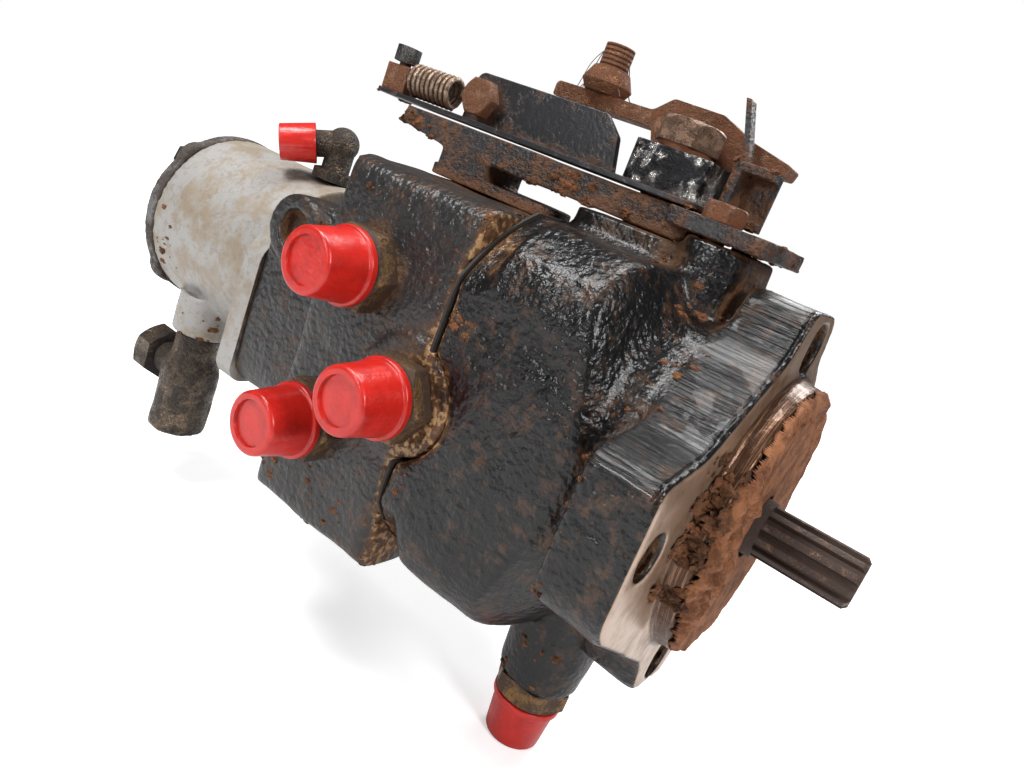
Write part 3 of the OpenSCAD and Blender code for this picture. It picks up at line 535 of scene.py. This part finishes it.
def tree_of(pieces):
    """One search tree for several finished pieces, as they stand."""
    bpy.context.view_layer.update()
    look = bpy.context.evaluated_depsgraph_get()
    corners, faces = [], []
    for piece in pieces:
        shape = piece.evaluated_get(look)
        mesh = shape.to_mesh()
        start = len(corners)
        corners += [shape.matrix_world @ v.co for v in mesh.vertices]
        faces += [[start + i for i in f.vertices] for f in mesh.polygons]
        shape.to_mesh_clear()
    return BVHTree.FromPolygons(corners, faces)


BREAK = behind(*POINTS["broken_crust"], tree_of([castings["case_housing"]]))
print("the crust is broken at", tuple(round(v, 4) for v in BREAK))


def crust(y, z):
    """The mud's height over the pilot's face; less than nothing where the metal is bare."""
    reach = math.hypot(y, z)
    angle = math.atan2(z, y)
    place = Vector((angle * 0.02, y, z))
    lumps = noise.noise(place * 60) + noise.noise(place * 190) * 0.5
    height = 0.0007 + lumps * 0.0004 + noise.noise(place * 600) * 0.00014
    # a low turned step near the rim still shows under the dust
    height += 0.0007 if reach < STEP_R else 0.0
    # the thick crust on the port side of the shaft has broken into clods
    thick = math.exp(-((y - BREAK.y - 0.0135) / 0.011) ** 2 - ((z - BREAK.z + 0.006) / 0.030) ** 2)
    near, far = noise.voronoi(place * 120)[0][:2]
    clod = min(far - near, 0.5) * 0.0062 + noise.noise(place * 260) * 0.0012
    height += min(thick * 1.6, 1) * (0.0016 + clod)
    # and part of it has fallen off
    gap = math.exp(-((y - BREAK.y - 0.0235) / 0.004) ** 2 - ((z - BREAK.z - 0.012) / 0.013) ** 2)
    height -= gap * 0.004
    # a lip of mud stands along the far rim
    lip = math.exp(-((reach - LIP_R) / 0.0022) ** 2) * max(math.sin(angle - 0.1), 0)
    height += lip * (0.0016 + lumps * 0.0014)
    rim = PILOT_R - 0.0010 + lumps * 0.0017
    if reach > rim:
        height -= (reach - rim) * 3.0
    if reach < CLEAN_R + lumps * 0.0007:
        height = -0.001
    return max(height, -0.0012)


def lay_mud():
    side = 2 * PILOT_R + 0.002
    bpy.ops.mesh.primitive_grid_add(x_subdivisions=GRID_LINES, y_subdivisions=GRID_LINES, size=side)
    piece = bpy.context.object
    piece.name = "pilot_mud"
    for v in piece.data.vertices:
        y, z = v.co.x, v.co.y
        v.co = (FACE + crust(y, z), y, z)
    bpy.ops.object.mode_set(mode="EDIT")
    bpy.ops.mesh.select_all(action="DESELECT")
    bpy.ops.object.mode_set(mode="OBJECT")
    for face in piece.data.polygons:
        middle = sum((piece.data.vertices[i].co for i in face.vertices), Vector()) / 4
        outside = math.hypot(middle.y, middle.z) > PILOT_R - 0.0003
        face.select = outside or middle.x < FACE + SUNK
    bpy.ops.object.mode_set(mode="EDIT")
    bpy.ops.mesh.delete(type="FACE")
    bpy.ops.object.mode_set(mode="OBJECT")
    apply(piece, "SOLIDIFY", thickness=0.0008, offset=-1)
    bpy.ops.object.shade_smooth()
    give(piece, finishes["dried_mud"])
    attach(piece, "casing")
    print("mud with", len(piece.data.polygons), "faces")


lay_mud()

# %% [markdown]
# ## Clods of earth
# Smaller clods stick in corners and along edges. Each box below is a place where earth gathers on
# such a pump; the clods sit on the finished surface inside it, closer together where the noise is
# high.

# %% Clods
SMALLEST, SPREAD = 0.0003, 0.0011  # radius of a clod in metres


def lump_at(spot, normal, draw, coarse):
    """One clod, an uneven ball pressed flat on the surface."""
    size = (SMALLEST + SPREAD * draw.random() ** 2) * coarse
    bpy.ops.mesh.primitive_ico_sphere_add(subdivisions=2, radius=1)
    clod = bpy.context.object
    turn = normal.to_track_quat("Z", "Y").to_matrix()
    shift = Vector((draw.uniform(0, 9), draw.uniform(0, 9), draw.uniform(0, 9)))
    wide, tall = draw.uniform(1.0, 2.0), draw.uniform(0.4, 0.8)
    for v in clod.data.vertices:
        lump = 1 + 0.8 * noise.noise(v.co * 1.6 + shift) + 0.3 * noise.noise(v.co * 5 + shift)
        co = v.co * size * lump
        v.co = spot + turn @ Vector((co.x * wide, co.y, co.z * tall))
    return clod


def clods(name, carrier, boxes, body, seed, coarse=1):
    """Each box is its low corner and its high corner in metres, and the number of clods."""
    draw = random.Random(seed)
    look = bpy.context.evaluated_depsgraph_get()
    mesh = carrier.evaluated_get(look).to_mesh()
    faces = [(f.center.copy(), f.normal.copy()) for f in mesh.polygons]
    carrier.evaluated_get(look).to_mesh_clear()
    made = []
    for low, high, count in boxes:
        inside = [(spot, normal) for spot, normal in faces
                  if all(a <= v <= b for a, v, b in zip(low, spot, high))]
        while inside and count:
            spot, normal = draw.choice(inside)
            if noise.noise(spot * 90) > draw.uniform(-0.1, 0.35):
                made.append(lump_at(spot, normal, draw, coarse))
                count -= 1
    bpy.ops.object.select_all(action="DESELECT")
    for clod in made:
        clod.select_set(True)
    bpy.context.view_layer.objects.active = made[0]
    bpy.ops.object.join()
    piece = bpy.context.object
    piece.name = name
    give(piece, finishes["damp_earth"])
    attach(piece, body)
    print(name, "with", len(made), "clods")
    return piece


broken = clods("broken_crust", castings["case_housing"], (
    (BREAK - Vector((0.006, 0.0095, 0.008)), BREAK + Vector((0.0145, 0.0225, 0.026)), 170),
    (BREAK - Vector((0.006, 0.0055, 0.023)), BREAK + Vector((0.0145, 0.0235, 0.001)), 110)),
    "casing", 2, 1.8)
clods("case_clods", castings["case_housing"], (
    ((-0.096, -0.09, -0.075), (-0.086, -0.03, 0.075), 110),
    ((-0.034, -0.088, -0.075), (-0.020, -0.03, 0.050), 90),
    ((-0.055, -0.030, 0.055), (-0.020, 0.03, 0.078), 70),
    ((-0.060, -0.03, -0.102), (-0.022, 0.03, -0.070), 50)), "casing", 7)
clods("block_clods", castings["port_block"], (
    ((-0.166, -0.090, -0.085), (-0.098, -0.040, -0.045), 100),
    ((-0.106, -0.090, -0.050), (-0.098, -0.030, 0.080), 70),
    ((-0.150, -0.090, 0.020), (-0.128, -0.060, 0.060), 25)), "casing", 5)
clods("gear_pump_clods", castings["gear_pump_body"], (
    ((-0.300, -0.046, -0.046), (-0.276, -0.010, 0.006), 45),
    ((-0.290, -0.040, -0.060), (-0.230, 0.020, -0.036), 60)), "casing", 11)
clods("bracket_clods", castings["neutral_bracket"], (
    ((-0.195, -0.020, 0.074), (-0.040, -0.010, 0.086), 130),
    ((-0.070, -0.030, 0.070), (-0.020, 0.03, 0.090), 80)), "casing", 9)
clods("lever_clods", nodes["lever_plate"], (
    ((-0.215, -0.02, 0.088), (-0.170, 0.02, 0.095), 30),
    ((-0.110, -0.02, 0.088), (-0.050, 0.02, 0.095), 40)), "swash", 3)
clods("yoke_clods", nodes["front_yoke"], (
    ((-0.060, -0.01, 0.085), (-0.030, 0.03, 0.120), 60),), "swash", 4)

# %% [markdown]
# ## Dried grass
# A few dry stalks hang round the stud of the control lever.

# %% Grass
STUD = Vector((-0.1205, 0.018, 0.0))
STUD_TOP, ARM_TOP = 0.1365, 0.1190


def stalk(draw):
    """A thin curve that starts on the stud, bows away from it and ends on the arm."""
    start, bend = draw.uniform(0, math.tau), draw.uniform(-0.7, 0.7)
    high = draw.uniform(ARM_TOP + 0.006, STUD_TOP)
    curve = bpy.data.curves.new("stalk", "CURVE")
    curve.dimensions = "3D"
    curve.bevel_depth = draw.uniform(0.00012, 0.00026)
    curve.use_fill_caps = True
    line = curve.splines.new("NURBS")
    line.points.add(3)
    runs = ((0.0062, high), (0.0095, high - 0.004), (0.0115, ARM_TOP + 0.003), (0.0135, ARM_TOP))
    for index, (away, height) in enumerate(runs):
        angle = start + bend * index / 3
        spot = STUD + Vector((math.cos(angle) * away, math.sin(angle) * away * 0.8, height))
        line.points[index].co = (*spot, 1)
    line.use_endpoint_u = True
    line.order_u = 3
    piece = bpy.data.objects.new("stalk", curve)
    bpy.context.scene.collection.objects.link(piece)
    return piece


def lay_grass(count, seed):
    draw = random.Random(seed)
    made = [stalk(draw) for _ in range(count)]
    bpy.ops.object.select_all(action="DESELECT")
    for piece in made:
        piece.select_set(True)
    bpy.context.view_layer.objects.active = made[0]
    bpy.ops.object.convert(target="MESH")
    bpy.ops.object.join()
    grass = bpy.context.object
    grass.name = "stud_grass"
    give(grass, finishes["dry_grass"])
    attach(grass, "swash")
    print("grass with", count, "stalks")


lay_grass(9, 21)

# %% [markdown]
# ## Floor and light
# The world shows white to the camera, and the floor has a painted glow that only the camera sees,
# dim near the pump and white further off. Both light the pump as a pale room does.

# %% Floor, world and lamps
def studio():
    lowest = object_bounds()[0][2]
    bpy.ops.mesh.primitive_plane_add(size=8, location=(-0.1, 0, lowest - 0.0002))
    floor = bpy.context.object
    floor.name = "floor"
    f = Finish("pale_floor")
    camera_ray = f.add("LightPath", out="Is Camera Ray")
    away = f.add("VectorMath", {"operation": "LENGTH"}, {0: f.place}, out="Value")
    # a painted glow that only the camera sees: dim near the pump, white further off
    glow = f.mix(f.step(away, 0.3, 0.9), (0.45, 0.45, 0.45), (1, 1, 1))
    glow = f.mix(camera_ray, (0, 0, 0), glow)
    give(floor, f.finish(Base_Color=(0.86, 0.86, 0.86), Roughness=0.9, Specular_IOR_Level=0.1,
                         Emission_Color=glow, Emission_Strength=1.0))
    world = bpy.data.worlds.new("pale_room")
    bpy.context.scene.world = world
    world.use_nodes = True
    room = world.node_tree
    seen = room.nodes.new("ShaderNodeLightPath").outputs["Is Camera Ray"]
    shade = room.nodes.new("ShaderNodeMix")
    shade.data_type = "RGBA"
    room.links.new(seen, shade.inputs[0])
    shade.inputs[6].default_value = ROOM
    shade.inputs[7].default_value = (1, 1, 1, 1)
    room.links.new(shade.outputs[2], room.nodes["Background"].inputs["Color"])
    for name, place, size, power in LAMPS:
        data = bpy.data.lights.new(name, "AREA")
        data.energy, data.size = power, size
        lamp = bpy.data.objects.new(name, data)
        bpy.context.scene.collection.objects.link(lamp)
        lamp.location = place
        aim = MIDDLE - Vector(place)
        lamp.rotation_euler = aim.to_track_quat("-Z", "Y").to_euler()


MIDDLE = Vector((-0.1, 0, 0))
ROOM = (0.11, 0.11, 0.12, 1)
LAMPS = (  # name, place, size in metres, power in watts
    ("key", (-0.45, -0.45, 0.9), 0.36, 10.0),
    ("side", (0.75, -0.35, 0.55), 0.28, 6.5),
    ("back", (-0.1, 0.8, 0.7), 0.5, 7.0),
    ("top", (-0.15, 0.15, 0.9), 0.3, 6.0),
    ("front", (-0.30, -0.85, 0.30), 0.12, 2.6),
)
bpy.context.scene.view_settings.view_transform = "Standard"
studio()

# %% [markdown]
# ## Does it agree with the photograph?
# Each named feature has a point of the photograph. The table says how many pixels away
# the same feature shows in this scene.

# %% Compare the points
MOST_TRIED = 3000  # vertices of a piece
NEARLY = 0.0006  # metres that a hit may lie in front of the vertex it belongs to


def shown(pieces, near=None, reach=0.0):
    """The picture's points of the vertices that nothing hides.

    `near` and `reach` keep only those of one feature."""
    look = bpy.context.evaluated_depsgraph_get()
    places = []
    for piece in pieces:
        mesh = piece.evaluated_get(look).to_mesh()
        step = max(len(mesh.vertices) // MOST_TRIED, 1)
        for v in list(mesh.vertices)[::step]:
            spot = piece.matrix_world @ v.co
            if near and (spot - Vector(near)).length > reach:
                continue
            ray = spot - EYE
            hit, _, _, distance = everything.ray_cast(EYE, ray.normalized())
            if hit is None or distance > ray.length - NEARLY:
                places.append(seen_at(spot))
        piece.evaluated_get(look).to_mesh_clear()
    return places


def middle(places):
    xs, ys = [p[0] for p in places], [p[1] for p in places]
    return (min(xs) + max(xs)) / 2, (min(ys) + max(ys)) / 2


def compare():
    found = {name: middle(shown(*feature)) for name, feature in FEATURES.items()}
    corners = [p for piece in solid_pieces for p in shown([piece])]
    xs, ys = [p[0] for p in corners], [p[1] for p in corners]
    report = {name: [round(found[name][0] - x, 1), round(found[name][1] - y, 1)]
              for name, (x, y) in POINTS.items()}
    ends = {"left": min(xs), "right": max(xs), "top": min(ys), "bottom": max(ys)}
    for name, value in ends.items():
        report[name] = round(value - EDGES[name], 1)
    return report


FEATURES = {  # point: its pieces, and a place and reach where only part of them counts
    "upper_cap": ([nodes["port_caps"]], (-0.139, -0.090, 0.029), 0.026),
    "drain_cap": ([nodes["drain_cap"]], None, 0),
    "charge_cap": ([nodes["charge_cap"]], None, 0),
    "shaft": ([nodes["drive_shaft"]], None, 0),
    "hub_bolt": ([nodes["hub_bolt"]], None, 0),
    "stud": ([nodes["ball_stud"]], None, 0),
    "spring_bolt": ([nodes["spring_bolt"]], None, 0),
    "spring": ([nodes["lever_spring"]], None, 0),
    "anchor_screw": ([nodes["anchor_screw"]], None, 0),
    "inlet_nut": ([nodes["inlet_nut"]], None, 0),
    "broken_crust": ([broken], None, 0),
}
solid_pieces = [piece for piece in bpy.context.scene.objects
                if piece.type == "MESH" and not piece.hide_render and piece.name != "floor"]
everything = tree_of(solid_pieces)
difference = compare()
print(difference)
